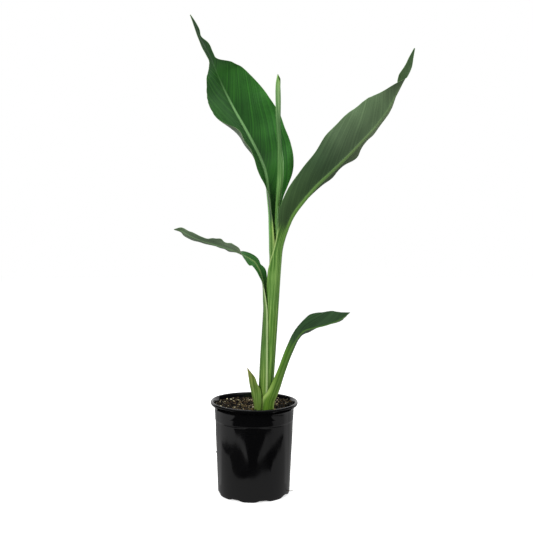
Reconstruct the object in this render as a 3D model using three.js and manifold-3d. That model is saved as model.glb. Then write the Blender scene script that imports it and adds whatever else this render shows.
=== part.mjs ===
// A young canna lily in a black one-gallon nursery pot.
// Millimetres, +Z up. The origin is the middle of the pot's underside, and -Y is the front.
// The plant is one leafy shoot: a stalk grown out of a rhizome, wrapped in the sheaths of
// its leaves. Each leaf is one piece from the foot of its sheath to its drip tip.
import * as THREE from "three";
import { mergeVertices } from "three/addons/utils/BufferGeometryUtils.js";
import Module from "manifold-3d";

const wasm = await Module();
wasm.setup();

// ---------------------------------------------------------------- driving dimensions
const GAP = 0.3; // clearance between pieces that touch

const POT_RIM_RADIUS = 82.5;
const POT_HEIGHT = 171.5;
const POT_FOOT_RADIUS = 68;
const POT_NECK_RADIUS = 75.8; // just under the rolled lip
const POT_STEP_HEIGHT = 139; // the stacking step runs round the wall here
const POT_STEP_DEPTH = 0.8;
const POT_WALL = 1.4;
const POT_FLOOR = 2;
const POT_SIDES = 48;
const LIP_HEIGHT = 7;
const DRAIN_COUNT = 8;
const DRAIN_WIDTH = 24;
const DRAIN_HEIGHT = 4;
const DRAIN_INNER_RADIUS = 56;
const DRAIN_TURN = -7; // degrees that the front foot stands off the front

const SOIL_TOP = 165;
const SOIL_RELIEF = 2.2;

const STEM_FOOT = { x: 21.5, y: -35, z: 163 }; // where the stalk's axis leaves the soil
const STEM_LEAN_X = 0.0615; // sideways travel for each millimetre of height
const STEM_LEAN_Y = 0.018;
const STALK_RADIUS = 7.2;
const STALK_TOP = 425;
const STALK_TOP_RADIUS = 4.8;
const SPEAR_FOOT = 426.2; // the rolled leaf stands aslant on the stalk's top
const CROWN_RADIUS = 19;
const SHEATH_FOOT = 146; // sheaths start here, a little under the soil
const RHIZOME = { x: 6, y: -22, z: 126, length: 92, thickness: 30, turn: 145 };

// Sheaths, from the inside out: middle radius and thickness.
const SHEATH_LEFT = { radius: 8.5, thickness: 1.5 };
const SHEATH_RIGHT = { radius: 10.8, thickness: 1.9 };
const SHEATH_LOWER = { radius: 13.4, thickness: 1.9 };
const SHEATH_SHOOT = { radius: 16.2, thickness: 2.2 };
const SHEATH_BRACT = { radius: 18.6, thickness: 1.8 };
const BRACT_SPREAD = 3.2; // the bract leans out of the mix

// ---------------------------------------------------------------- materials
const BLACK_PLASTIC = new THREE.MeshStandardMaterial({ color: 0x141414, roughness: 0.25 });
const POTTING_MIX = new THREE.MeshStandardMaterial({ color: 0x2e2318, roughness: 1 });
const PALE_STALK = new THREE.MeshStandardMaterial({ color: 0x86a05a, roughness: 0.6 });
const LEAF_GREEN = new THREE.MeshStandardMaterial({ color: 0x2f6a2c, roughness: 0.45 });
const LEAF_DARK = new THREE.MeshStandardMaterial({ color: 0x3c5a38, roughness: 0.5 });
const SPEAR_GREEN = new THREE.MeshStandardMaterial({ color: 0x7aa45c, roughness: 0.5 });
const BRACT_GREEN = new THREE.MeshStandardMaterial({ color: 0x7b8f45, roughness: 0.6 });

// ---------------------------------------------------------------- solids
const radians = THREE.MathUtils.degToRad;

// A closed solid over a grid of points: rows[i][j] on the near face, backs[i][j] on the far
// face, both split along the same diagonals, with walls all round.
function slab(rows, backs) {
  const across = rows[0].length;
  const positions = [];
  for (const face of [rows, backs]) {
    for (const row of face) for (const point of row) positions.push(point.x, point.y, point.z);
  }
  const near = (i, j) => i * across + j;
  const far = (i, j) => rows.length * across + near(i, j);
  const triangles = [];
  const quad = (a, b, c, d) => triangles.push(a, b, c, a, c, d);
  for (let i = 0; i + 1 < rows.length; i += 1) {
    for (let j = 0; j + 1 < across; j += 1) {
      quad(near(i, j), near(i, j + 1), near(i + 1, j + 1), near(i + 1, j));
      quad(far(i, j), far(i + 1, j), far(i + 1, j + 1), far(i, j + 1));
    }
    const last = across - 1;
    quad(near(i, 0), near(i + 1, 0), far(i + 1, 0), far(i, 0));
    quad(near(i, last), far(i, last), far(i + 1, last), near(i + 1, last));
  }
  const end = rows.length - 1;
  for (let j = 0; j + 1 < across; j += 1) {
    quad(near(0, j), far(0, j), far(0, j + 1), near(0, j + 1));
    quad(near(end, j), near(end, j + 1), far(end, j + 1), far(end, j));
  }
  return indexed(positions, triangles);
}

// A closed solid through rings of points, capped by a fan at either end.
function loft(rings) {
  const count = rings[0].length;
  const positions = [];
  for (const ring of rings) for (const point of ring) positions.push(point.x, point.y, point.z);
  const triangles = [];
  for (let i = 0; i + 1 < rings.length; i += 1) {
    for (let j = 0; j < count; j += 1) {
      const a = i * count + j;
      const b = i * count + ((j + 1) % count);
      triangles.push(a, b, b + count, a, b + count, a + count);
    }
  }
  for (const [ring, turn] of [[0, -1], [rings.length - 1, 1]]) {
    const middle = new THREE.Vector3();
    for (const point of rings[ring]) middle.addScaledVector(point, 1 / count);
    const centre = positions.length / 3;
    positions.push(middle.x, middle.y, middle.z);
    for (let j = 0; j < count; j += 1) {
      const a = ring * count + j;
      const b = ring * count + ((j + 1) % count);
      if (turn > 0) triangles.push(centre, a, b);
      else triangles.push(centre, b, a);
    }
  }
  return indexed(positions, triangles);
}

function indexed(positions, triangles) {
  const geometry = new THREE.BufferGeometry();
  geometry.setAttribute("position", new THREE.Float32BufferAttribute(positions, 3));
  geometry.setIndex(triangles);
  return geometry;
}

function manifoldOf(geometry) {
  const bare = geometry.clone();
  bare.deleteAttribute("normal");
  bare.deleteAttribute("uv");
  const merged = mergeVertices(bare, 1e-4);
  return new wasm.Manifold(
    new wasm.Mesh({
      numProp: 3,
      vertProperties: new Float32Array(merged.attributes.position.array),
      triVerts: new Uint32Array(merged.index.array),
    }),
  );
}

function geometryOf(manifold) {
  const mesh = manifold.getMesh();
  return indexed(Array.from(mesh.vertProperties), Array.from(mesh.triVerts));
}

function named(name, geometry, material) {
  const flat = geometry.index ? geometry.toNonIndexed() : geometry;
  flat.computeVertexNormals();
  const mesh = new THREE.Mesh(flat, material);
  mesh.name = name;
  return mesh;
}

// ---------------------------------------------------------------- the leaves' shared form
// A leaf is a list of stations up its midrib. At each, in the plane across the midrib, both
// halves of the blade are circular arcs. Directions are in degrees from the plant's right
// towards its front; a half curls towards the leaf's upper face, and its width is an arc.
const STATION = ["x", "y", "z", "dirA", "curlA", "widthA", "dirB", "curlB", "widthB", "rib", "thick"];

function stemAxis(z) {
  const rise = z - STEM_FOOT.z;
  return new THREE.Vector3(STEM_FOOT.x + STEM_LEAN_X * rise, STEM_FOOT.y + STEM_LEAN_Y * rise, z);
}

// The point at `radius` from the stem's axis, on the plane square to it, at an angle from +X.
function besideStem(z, radius, degrees) {
  const point = stemAxis(z);
  const x = radius * Math.cos(radians(degrees));
  const y = radius * Math.sin(radians(degrees));
  point.x += x;
  point.y += y;
  point.z -= STEM_LEAN_X * x + STEM_LEAN_Y * y;
  return point;
}

// A station of a sheath that wraps the stem: its midrib faces the direction `out`, and its
// halves wrap `wrapA` and `wrapB` degrees round the stem's axis.
function sheathStation(z, out, wrapA, wrapB, sheath, radius = sheath.radius, rib = 0) {
  const midrib = besideStem(z, radius, -out);
  return [
    midrib.x,
    midrib.y,
    midrib.z,
    out + 90,
    wrapA,
    radius * radians(wrapA),
    out - 90,
    wrapB,
    radius * radians(wrapB),
    rib,
    sheath.thickness,
  ];
}

// Uniform Catmull-Rom spline through every value of the stations.
function stationAt(stations, place) {
  const last = stations.length - 1;
  const k = Math.min(Math.floor(place), last - 1);
  const t = place - k;
  const before = stations[Math.max(k - 1, 0)];
  const from = stations[k];
  const to = stations[k + 1];
  const after = stations[Math.min(k + 2, last)];
  const value = {};
  STATION.forEach((key, i) => {
    const slope0 = (to[i] - before[i]) / 2;
    const slope1 = (after[i] - from[i]) / 2;
    value[key] =
      from[i] * (2 * t ** 3 - 3 * t ** 2 + 1) +
      slope0 * (t ** 3 - 2 * t ** 2 + t) +
      to[i] * (3 * t ** 2 - 2 * t ** 3) +
      slope1 * (t ** 3 - t ** 2);
  });
  return value;
}

const TOWARDS_FRONT = new THREE.Vector3(0, -1, 0);
const TANGENT_STEP = 0.02;
const MIN_WIDTH = 0.9;
const MIN_THICKNESS = 0.7;
const MARGIN_THINNING = 0.6;
const COLUMNS = 6; // columns of faces on each half of a blade

function acrossFrame(stations, place) {
  const last = stations.length - 1;
  const below = stationAt(stations, Math.max(place - TANGENT_STEP, 0));
  const above = stationAt(stations, Math.min(place + TANGENT_STEP, last));
  const along = new THREE.Vector3(above.x - below.x, above.y - below.y, above.z - below.z).normalize();
  const front = TOWARDS_FRONT.clone().addScaledVector(along, -along.dot(TOWARDS_FRONT)).normalize();
  const right = new THREE.Vector3().crossVectors(along, front);
  return { front, right };
}

// One half of a cross-section, from the midrib to the margin: points, and normals on the
// upper side. `side` is 1 for half A and -1 for half B.
function halfSection(station, frame, side, ruffle, place) {
  const direction = radians(side > 0 ? station.dirA : station.dirB);
  const curl = side * radians(side > 0 ? station.curlA : station.curlB);
  const width = Math.max(side > 0 ? station.widthA : station.widthB, MIN_WIDTH);
  const bunching = 1 + 0.5 * THREE.MathUtils.smoothstep(width, 25, 50);
  const section = [];
  for (let j = 0; j <= COLUMNS; j += 1) {
    const share = (j / COLUMNS) ** bunching;
    const turned = curl * share;
    const chord = width * share * (Math.abs(turned) < 1e-6 ? 1 : Math.sin(turned / 2) / (turned / 2));
    const heading = direction + turned / 2;
    const facing = direction + turned + (side * Math.PI) / 2;
    const normal = new THREE.Vector3()
      .addScaledVector(frame.right, Math.cos(facing))
      .addScaledVector(frame.front, Math.sin(facing));
    const point = new THREE.Vector3(station.x, station.y, station.z)
      .addScaledVector(frame.right, chord * Math.cos(heading))
      .addScaledVector(frame.front, chord * Math.sin(heading))
      .addScaledVector(normal, ruffle(place, share, side, width));
    section.push({ point, normal, share, distance: width * share });
  }
  return section;
}

// The leaf's solid. `steps` gives the number of slices between one station and the next.
function leafGeometry(stations, steps, ruffle = () => 0) {
  const places = [0];
  steps.forEach((count, k) => {
    for (let i = 1; i <= count; i += 1) places.push(k + i / count);
  });
  const upper = [];
  const lower = [];
  for (const place of places) {
    const station = stationAt(stations, place);
    const frame = acrossFrame(stations, place);
    const halfA = halfSection(station, frame, 1, ruffle, place);
    const halfB = halfSection(station, frame, -1, ruffle, place);
    const middle = halfA[0];
    middle.normal.add(halfB[0].normal).normalize();
    const section = [...halfA.slice(1).reverse(), middle, ...halfB.slice(1)];
    const upperRow = [];
    const lowerRow = [];
    for (const { point, normal, share, distance } of section) {
      const thinned = station.thick * (1 - MARGIN_THINNING * share ** 4);
      const half = Math.max(thinned, MIN_THICKNESS) / 2;
      const ribWidth = 2 + 0.7 * station.rib;
      const bulge = station.rib * Math.exp(-((distance / ribWidth) ** 2));
      upperRow.push(point.clone().addScaledVector(normal, half));
      lowerRow.push(point.clone().addScaledVector(normal, -half - bulge));
    }
    upper.push(upperRow);
    lower.push(lowerRow);
  }
  return slab(lower, upper);
}

// ---------------------------------------------------------------- the leaves
//  x, y, z of the midrib; direction, curl and width of half A, then of half B; rib; thickness
const LEAF_LEFT_STATIONS = [
  sheathStation(SHEATH_FOOT, 180, 150, 150, SHEATH_LEFT),
  sheathStation(290, 180, 150, 150, SHEATH_LEFT),
  sheathStation(425, 180, 150, 140, SHEATH_LEFT, 8.6),
  [30.5, -29, 462, 272, 120, 19, 92, 100, 15, 1.5, 1.8],
  [31.2, -28, 497, 285, 95, 18, 97, 75, 12, 3, 1.4],
  [30.5, -24, 529, 310, 65, 20, 102, 50, 11, 3.5, 1.1],
  [27, -17, 565, 332, 45, 31, 108, 30, 16, 3.2, 0.9],
  [21, -5, 609, 348, 35, 58.5, 132, 18, 24, 2.8, 0.8],
  [10, 8, 641, 352, 30, 66, 141, 70, 43, 2.4, 0.8],
  [-4, 18, 670, 355, 26, 70.5, 148, 85, 56, 2.1, 0.8],
  [-19, 26, 699, 357, 22, 72, 151, 70, 64, 1.8, 0.8],
  [-37, 32, 731, 360, 18, 70, 150, 42, 68, 1.5, 0.8],
  [-55, 36, 766, 360, 15, 62, 146, 20, 53, 1.2, 0.8],
  [-70, 38, 797, 362, 12, 49, 134, 12, 38, 0.9, 0.8],
  [-75, 37, 813, 370, 15, 31, 146, 12, 20, 0.8, 0.8],
  [-82, 36, 829, 380, 20, 12.5, 152, 10, 7, 0.7, 0.8],
  [-88, 35, 842, 385, 30, 11, 155, 10, 7, 0.5, 0.8],
  [-96, 34, 857, 380, 20, 11, 158, 10, 7, 0.4, 0.8],
  [-106, 33, 874, 372, 10, 4, 150, 0, 4, 0.4, 0.8],
  [-111, 32, 888, 370, 0, 5, 150, 0, 4, 0.4, 0.8],
  [-117, 31, 903, 370, 0, 3, 150, 0, 3, 0.3, 0.8],
  [-124, 30, 917, 400, 0, 1, 150, 0, 1, 0.1, 0.8],
];
const LEAF_LEFT_STEPS = [1, 1, 2, 3, 3, 3, 3, 3, 3, 3, 3, 3, 3, 2, 2, 2, 2, 2, 1, 1, 1];

const LEAF_RIGHT_STATIONS = [
  sheathStation(SHEATH_FOOT, 40, 140, 150, SHEATH_RIGHT),
  sheathStation(280, 40, 140, 150, SHEATH_RIGHT, 11.7),
  sheathStation(400, 40, 135, 150, SHEATH_RIGHT, 11.9),
  sheathStation(436, 38, 100, 120, SHEATH_RIGHT, 12.2, 1),
  [50, -37, 466, 128, 60, 13, -45, 60, 14, 2.5, 1.8],
  [58.5, -41, 495, 134, 50, 11, -48, 55, 14, 3.5, 1.4],
  [72, -47, 525, 155, 30, 26, -62, 45, 18, 3.6, 1.1],
  [92, -53, 552, 165, 20, 37, -72, 35, 31, 3.4, 0.9],
  [116, -60, 579, 170, 15, 41, -69, 25, 41, 3, 0.8],
  [143, -67, 604, 174, 10, 47, -74, 20, 49, 2.6, 0.8],
  [170, -73, 630, 176, 10, 55, -71, 15, 53, 2.3, 0.8],
  [195, -77, 656, 178, 10, 55, -72, 20, 55, 2, 0.8],
  [219, -80, 682, 178, 12, 51, -78, 15, 51, 1.6, 0.8],
  [240, -82, 711, 176, 14, 41, -70, 20, 40, 1.2, 0.8],
  [257, -82, 742, 170, 14, 18.5, -80, 20, 9, 0.9, 0.8],
  [267, -81, 761, 120, 10, 7, -140, 10, 12, 0.7, 0.8],
  [272.5, -81, 771, 50, 10, 4, -172, 10, 13, 0.6, 0.8],
  [279, -80, 788, 20, 10, 4, -180, 10, 9, 0.5, 0.8],
  [283, -80, 803, 10, 0, 2.5, -180, 0, 6, 0.4, 0.8],
  [288, -78, 822, 10, 0, 1, -180, 0, 1, 0.1, 0.8],
];
const LEAF_RIGHT_STEPS = [1, 2, 2, 3, 3, 3, 3, 3, 3, 3, 3, 3, 3, 3, 2, 2, 2, 2, 1];

const LEAF_SPEAR_STATIONS = [
  [34.9, -29, SPEAR_FOOT, -60, 250, 12, 120, 240, 8, 0, 0.8],
  [39.4, -29.6, 452, -60, 250, 12, 120, 240, 8, 0, 0.8],
  [42.5, -30, 480, -60, 250, 12, 120, 240, 8, 0, 0.8],
  [42.5, -30, 525, -60, 240, 13, 120, 220, 10, 0, 0.8],
  [44.5, -30, 572, -60, 230, 17, 120, 170, 17, 0, 0.8],
  [46, -30, 612, -60, 230, 18, 120, 135, 21, 0, 0.8],
  [44, -30, 652, -60, 240, 16, 120, 180, 14, 0, 0.8],
  [42.2, -29, 700, -60, 240, 16, 120, 190, 14, 0, 0.8],
  [41, -28, 740, -60, 240, 17.5, 120, 190, 15, 0, 0.8],
  [41, -28, 768, -60, 235, 15.5, 120, 190, 13, 0, 0.8],
  [44.5, -28, 788, -60, 60, 1, 120, 60, 1, 0, 0.8],
];
const LEAF_SPEAR_STEPS = [1, 1, 2, 2, 3, 2, 2, 2, 2, 2];

const LEAF_LOWER_STATIONS = [
  sheathStation(SHEATH_FOOT, 180, 120, 109, SHEATH_LOWER),
  sheathStation(250, 180, 120, 86, SHEATH_LOWER, 15.1),
  sheathStation(340, 180, 95, 64, SHEATH_LOWER, 14.8),
  [19, -33, 368, 273, 52, 13, 92, 45, 12, 1.6, 1.4],
  [17.8, -31, 397, 300, 35, 10, 112, 35, 10, 1.8, 1.1],
  [12, -28, 420, 325, 30, 11, 132, 25, 12, 1.8, 0.9],
  [-1, -25, 441, 322, 15, 10.5, 132, 10, 15, 1.7, 0.8],
  [-22, -24, 453.5, 284, 10, 14, 94, 10, 18, 1.6, 0.8],
  [-45, -24, 463, 240, 10, 17, 60, 10, 20, 1.4, 0.8],
  [-68, -25, 470, 246, 15, 14.5, 46, 10, 17, 1.2, 0.8],
  [-96, -26, 479, 244, 15, 14, 64, 10, 12, 1, 0.8],
  [-121, -28, 489, 236, 10, 13.5, 48, 10, 10.5, 0.7, 0.8],
  [-136, -29, 498, 236, 10, 7, 48, 10, 8, 0.5, 0.8],
  [-149, -30, 500, 240, 0, 1, 60, 0, 1, 0.1, 0.8],
];
const LEAF_LOWER_STEPS = [1, 2, 2, 2, 3, 3, 3, 3, 3, 3, 2, 2, 2];

const LEAF_SHOOT_STATIONS = [
  sheathStation(SHEATH_FOOT, 62, 56, 48, SHEATH_SHOOT),
  sheathStation(178, 62, 50, 44, SHEATH_SHOOT, 16.4, 0.5),
  [40.3, -52, 208, 150, 60, 13, -20, 50, 12.5, 1.5, 2],
  [51.8, -55, 240, 145, 60, 8.5, -20, 55, 10.5, 2, 1.8],
  [65, -57, 273, 142, 60, 9.5, -20, 60, 9.5, 2, 1.6],
  [78.5, -58, 299, 140, 50, 12, -30, 50, 9.5, 2, 1.3],
  [92, -60, 314, 138, 40, 17, -50, 30, 16, 2, 1],
  [110, -62, 320, 138, 22, 31, -68, 20, 28, 1.6, 0.8],
  [134, -64, 326, 138, 15, 32, -76, 15, 30, 1.2, 0.8],
  [157, -66, 335, 142, 10, 23, -72, 10, 27, 0.9, 0.8],
  [175, -68, 348, 144, 0, 1, -80, 0, 1, 0.1, 0.8],
];
const LEAF_SHOOT_STEPS = [2, 3, 2, 2, 2, 2, 2, 2, 2, 2];

const BRACT_STATIONS = [
  sheathStation(SHEATH_FOOT + 0.8, 170, 48, 50, SHEATH_BRACT),
  sheathStation(172, 165, 46, 66, SHEATH_BRACT, 21.5),
  [-3.4, -40, 197, 262, 46, 12, 52, 50, 20, 0.6, 1.6],
  [-7, -41, 213, 262, 40, 10, 46, 35, 16, 0.5, 1.3],
  [-9, -41, 226, 262, 30, 6, 42, 25, 12.5, 0.4, 1.1],
  [-12, -42, 243, 262, 0, 1, 40, 0, 1, 0, 0.8],
];
const BRACT_STEPS = [2, 3, 2, 2, 2];

const RUFFLE_SHARE = 2; // the ruffle grows as this power of the distance from the midrib
function ruffled(height, waves, firstPlace, lastPlace) {
  return (place, share, side) => {
    const t = (place - firstPlace) / (lastPlace - firstPlace);
    if (t <= 0 || t >= 1) return 0;
    const swell = Math.sin(Math.PI * t);
    const wave = Math.sin(2 * Math.PI * waves * t + side);
    return height * swell * wave * share ** RUFFLE_SHARE;
  };
}

function leafMeshes() {
  return [
    named("leaf_left", leafGeometry(LEAF_LEFT_STATIONS, LEAF_LEFT_STEPS, ruffled(3, 5, 5, 14)), LEAF_GREEN),
    named("leaf_right", leafGeometry(LEAF_RIGHT_STATIONS, LEAF_RIGHT_STEPS, ruffled(3, 5, 6, 14)), LEAF_DARK),
    named("leaf_spear", leafGeometry(LEAF_SPEAR_STATIONS, LEAF_SPEAR_STEPS), SPEAR_GREEN),
    named("leaf_lower", leafGeometry(LEAF_LOWER_STATIONS, LEAF_LOWER_STEPS, ruffled(2.2, 4, 4, 12)), LEAF_GREEN),
    named("leaf_shoot", leafGeometry(LEAF_SHOOT_STATIONS, LEAF_SHOOT_STEPS, ruffled(1.5, 2, 5, 10)), LEAF_DARK),
    named("basal_bract", leafGeometry(BRACT_STATIONS, BRACT_STEPS), BRACT_GREEN),
  ];
}

// ---------------------------------------------------------------- pot
function wallRadius(z) {
  const lipFoot = POT_HEIGHT - LIP_HEIGHT - 4;
  const below = THREE.MathUtils.clamp(z / lipFoot, 0, 1);
  return POT_FOOT_RADIUS + (POT_NECK_RADIUS - POT_FOOT_RADIUS) * below;
}

function potWall() {
  const outside = [
    [wallRadius(0), 0],
    [wallRadius(POT_STEP_HEIGHT) - POT_STEP_DEPTH, POT_STEP_HEIGHT],
    [wallRadius(POT_STEP_HEIGHT), POT_STEP_HEIGHT + 1],
    [POT_NECK_RADIUS, POT_HEIGHT - LIP_HEIGHT - 4],
    [POT_NECK_RADIUS + 3, POT_HEIGHT - LIP_HEIGHT],
    [POT_RIM_RADIUS - 0.6, POT_HEIGHT - LIP_HEIGHT + 1.2],
    [POT_RIM_RADIUS, POT_HEIGHT - 3],
    [POT_RIM_RADIUS - 0.8, POT_HEIGHT - 0.8],
    [POT_RIM_RADIUS - 2.4, POT_HEIGHT],
    [POT_RIM_RADIUS - 4.6, POT_HEIGHT - 1.2],
    [POT_NECK_RADIUS - POT_WALL, POT_HEIGHT - LIP_HEIGHT - 4],
    [wallRadius(0) - POT_WALL, POT_FLOOR],
  ];
  const profile = [[0, 0], ...outside, [0, POT_FLOOR]];
  return upright(profile.map(([radius, z]) => new THREE.Vector2(radius, z)));
}

// A profile of (radius, height) turned about the Z axis.
function upright(profile) {
  return new THREE.LatheGeometry(profile, POT_SIDES).rotateX(Math.PI / 2);
}

// One raised pocket in the pot's base, or the space under it when `wall` is 0.
function drainBlock(index, wall) {
  const reach = POT_FOOT_RADIUS + 12 - (DRAIN_INNER_RADIUS - wall);
  const block = new THREE.BoxGeometry(reach, DRAIN_WIDTH + 2 * wall, DRAIN_HEIGHT + wall + 10);
  block.translate(DRAIN_INNER_RADIUS - wall + reach / 2, 0, (DRAIN_HEIGHT + wall - 10) / 2);
  const turn = radians(DRAIN_TURN - 90) + ((index + 0.5) * 2 * Math.PI) / DRAIN_COUNT;
  return block.rotateZ(turn);
}

function drainBlocks(wall) {
  let blocks = null;
  for (let i = 0; i < DRAIN_COUNT; i += 1) {
    const block = manifoldOf(drainBlock(i, wall));
    blocks = blocks ? blocks.add(block) : block;
  }
  return blocks;
}

function conicBody(inset, foot, top) {
  const profile = [
    [0, foot],
    [wallRadius(foot) - inset, foot],
    [wallRadius(top) - inset, top],
    [0, top],
  ];
  return manifoldOf(upright(profile.map(([radius, z]) => new THREE.Vector2(radius, z))));
}

function potGeometry() {
  const pockets = drainBlocks(POT_WALL).intersect(conicBody(POT_WALL / 2, 0, 20));
  return geometryOf(manifoldOf(potWall()).add(pockets).subtract(drainBlocks(0)));
}

// ---------------------------------------------------------------- soil and rhizome
// Height of the potting mix above its mean level: coarse lumps, by a sum of waves.
function soilRelief(x, y) {
  const lumps = Math.sin(x / 5.3 + 1.1) * Math.sin(y / 4.7) + 0.7 * Math.sin(x / 3.1 - y / 4.1 + 2);
  const swell = Math.sin(x / 21 + 0.5) * Math.cos(y / 25);
  return SOIL_RELIEF * (0.45 * lumps + 0.8 * swell);
}

const SOIL_RINGS = 7;
const SOIL_SIDES = 36;

function soilBody() {
  const rings = [];
  const ring = (radius, height) =>
    Array.from({ length: SOIL_SIDES }, (_, j) => {
      const angle = (2 * Math.PI * j) / SOIL_SIDES;
      const x = radius * Math.cos(angle);
      const y = radius * Math.sin(angle);
      return new THREE.Vector3(x, y, height(x, y));
    });
  const inset = POT_WALL + 2 * GAP; // the facets' flats come closer than their corners
  const floor = POT_FLOOR + GAP;
  rings.push(ring(wallRadius(0) - inset, () => floor));
  rings.push(ring(wallRadius(SOIL_TOP - 8) - inset, () => SOIL_TOP - 8));
  const outer = wallRadius(SOIL_TOP) - inset;
  for (let i = SOIL_RINGS; i > 0; i -= 1) {
    rings.push(ring((outer * i) / SOIL_RINGS, (x, y) => SOIL_TOP + soilRelief(x, y)));
  }
  return loft(rings);
}

// The stem's hole in the mix: round it, the sheaths make the hole wider in two places.
function stemHole() {
  const outline = [];
  const sides = 40;
  const reach = (sheath) => sheath.radius + sheath.thickness / 2 + 2 * GAP;
  for (let j = 0; j < sides; j += 1) {
    const angle = (360 * j) / sides; // from +X towards the front
    let radius = reach(SHEATH_LOWER);
    if (angle > 4 && angle < 122) radius = reach(SHEATH_SHOOT);
    if (angle > 92 && angle < 224) radius = reach(SHEATH_BRACT) + BRACT_SPREAD;
    outline.push([radius, -angle]);
  }
  outline.reverse();
  const rings = [SHEATH_FOOT - 2, SOIL_TOP + 12].map((z) =>
    outline.map(([radius, angle]) => besideStem(z, radius, angle)),
  );
  return loft(rings);
}

// A knobbly rhizome lying in the mix, with the stalk grown out of its younger end.
function rhizomeBody(grown) {
  const rings = [];
  const slices = 12;
  const sides = 14;
  for (let i = 0; i <= slices; i += 1) {
    const along = i / slices;
    const swell = Math.sqrt(Math.max(1 - (2 * along - 1) ** 4, 0.06));
    const knob = 1 + 0.12 * Math.cos(along * 6 * Math.PI);
    const radius = (RHIZOME.thickness / 2) * swell * knob + grown;
    const offset = (along - 0.5) * (RHIZOME.length + 2 * grown);
    rings.push(
      Array.from({ length: sides }, (_, j) => {
        const angle = (2 * Math.PI * j) / sides;
        return new THREE.Vector3(offset, radius * Math.cos(angle), radius * Math.sin(angle));
      }),
    );
  }
  const body = loft(rings);
  body.rotateZ(radians(RHIZOME.turn));
  return manifoldOf(body.translate(RHIZOME.x, RHIZOME.y, RHIZOME.z));
}

// The stalk, on the crown that carries the feet of the sheaths.
function stalkBody(grown) {
  const sides = 24;
  const crownTop = SHEATH_FOOT - GAP + grown;
  const outline = [
    [RHIZOME.z - grown, CROWN_RADIUS - 6],
    [SHEATH_FOOT - 7, CROWN_RADIUS - 1],
    [SHEATH_FOOT - 4, CROWN_RADIUS],
    [crownTop, CROWN_RADIUS],
    [crownTop + 0.1, STALK_RADIUS],
    [STALK_TOP, STALK_TOP_RADIUS],
  ];
  const rings = outline.map(([z, radius]) =>
    Array.from({ length: sides }, (_, j) => besideStem(z, radius + grown, (360 * j) / sides)),
  );
  return manifoldOf(loft(rings));
}

function rootBody(index, grown) {
  const count = 6;
  const length = 46;
  const root = new THREE.ConeGeometry(3.2 + grown, length + 2 * grown, 6);
  root.rotateX(-Math.PI / 2).translate(0, 0, -length / 2);
  root.rotateY(radians(index % 2 ? 38 : -34));
  root.rotateX(radians(index % 3 === 0 ? 30 : -18));
  const along = (index / (count - 1) - 0.5) * 0.7 * RHIZOME.length;
  root.translate(along, 0, 0).rotateZ(radians(RHIZOME.turn));
  return manifoldOf(root.translate(RHIZOME.x, RHIZOME.y, RHIZOME.z));
}

function rhizomeSolid(grown) {
  let solid = rhizomeBody(grown).add(stalkBody(grown));
  for (let i = 0; i < 6; i += 1) solid = solid.add(rootBody(i, grown));
  return solid;
}

function soilGeometry() {
  const room = rhizomeSolid(GAP).add(manifoldOf(stemHole()));
  const drains = drainBlocks(POT_WALL + GAP);
  return geometryOf(manifoldOf(soilBody()).subtract(room).subtract(drains));
}

// ---------------------------------------------------------------- the whole plant in its pot
const plant = new THREE.Group();
plant.add(named("pot", potGeometry(), BLACK_PLASTIC));
plant.add(named("soil", soilGeometry(), POTTING_MIX));
plant.add(named("rhizome_stalk", geometryOf(rhizomeSolid(0)), PALE_STALK));
for (const leaf of leafMeshes()) plant.add(leaf);

export default plant;
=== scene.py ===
"""The looks of a young canna lily in a black nursery pot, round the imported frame.

Lengths named ..._MM are millimetres in the part's frame; Blender's own units are metres.
"""

import math
import random

import bmesh
import bpy
import numpy as np
from mathutils import Matrix, Vector, noise


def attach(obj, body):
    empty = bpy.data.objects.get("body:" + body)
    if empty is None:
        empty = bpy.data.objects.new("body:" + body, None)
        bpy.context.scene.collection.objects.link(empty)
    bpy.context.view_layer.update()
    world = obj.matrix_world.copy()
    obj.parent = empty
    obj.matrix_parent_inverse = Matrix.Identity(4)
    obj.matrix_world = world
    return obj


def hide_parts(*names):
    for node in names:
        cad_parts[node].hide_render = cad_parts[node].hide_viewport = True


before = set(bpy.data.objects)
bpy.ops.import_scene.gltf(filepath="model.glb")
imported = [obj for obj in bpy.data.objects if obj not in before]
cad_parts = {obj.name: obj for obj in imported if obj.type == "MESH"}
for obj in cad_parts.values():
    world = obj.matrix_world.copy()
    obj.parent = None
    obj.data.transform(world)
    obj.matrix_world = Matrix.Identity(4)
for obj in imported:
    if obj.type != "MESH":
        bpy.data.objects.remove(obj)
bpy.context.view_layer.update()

MM = 0.001
BODY = "root"


# ---------------- camera, as in the photograph
CAMERA_PLACE_MM = (23.5, -1355.0, 458.5)
CAMERA_PITCH_DOWN = 1.19  # degrees
CAMERA_LENS = 48.0
CAMERA_SENSOR = 36.0
CAMERA_REACH = 50.0


def make_camera():
    data = bpy.data.cameras.new("camera")
    data.lens = CAMERA_LENS
    data.sensor_width = CAMERA_SENSOR
    data.sensor_fit = "HORIZONTAL"
    data.clip_end = CAMERA_REACH
    camera = bpy.data.objects.new("camera", data)
    camera.location = Vector(CAMERA_PLACE_MM) * MM
    camera.rotation_euler = (math.radians(90 - CAMERA_PITCH_DOWN), 0, 0)
    bpy.context.collection.objects.link(camera)
    bpy.context.scene.camera = camera


make_camera()


# ---------------- node graphs in short
def linear(colour):
    """Linear values for a colour written as RRGGBB; anything else stays as it is."""
    if not isinstance(colour, str):
        return colour
    values = [int(colour[i : i + 2], 16) / 255 for i in (0, 2, 4)]
    return tuple(v / 12.92 if v <= 0.04045 else ((v + 0.055) / 1.055) ** 2.4 for v in values)


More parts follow.
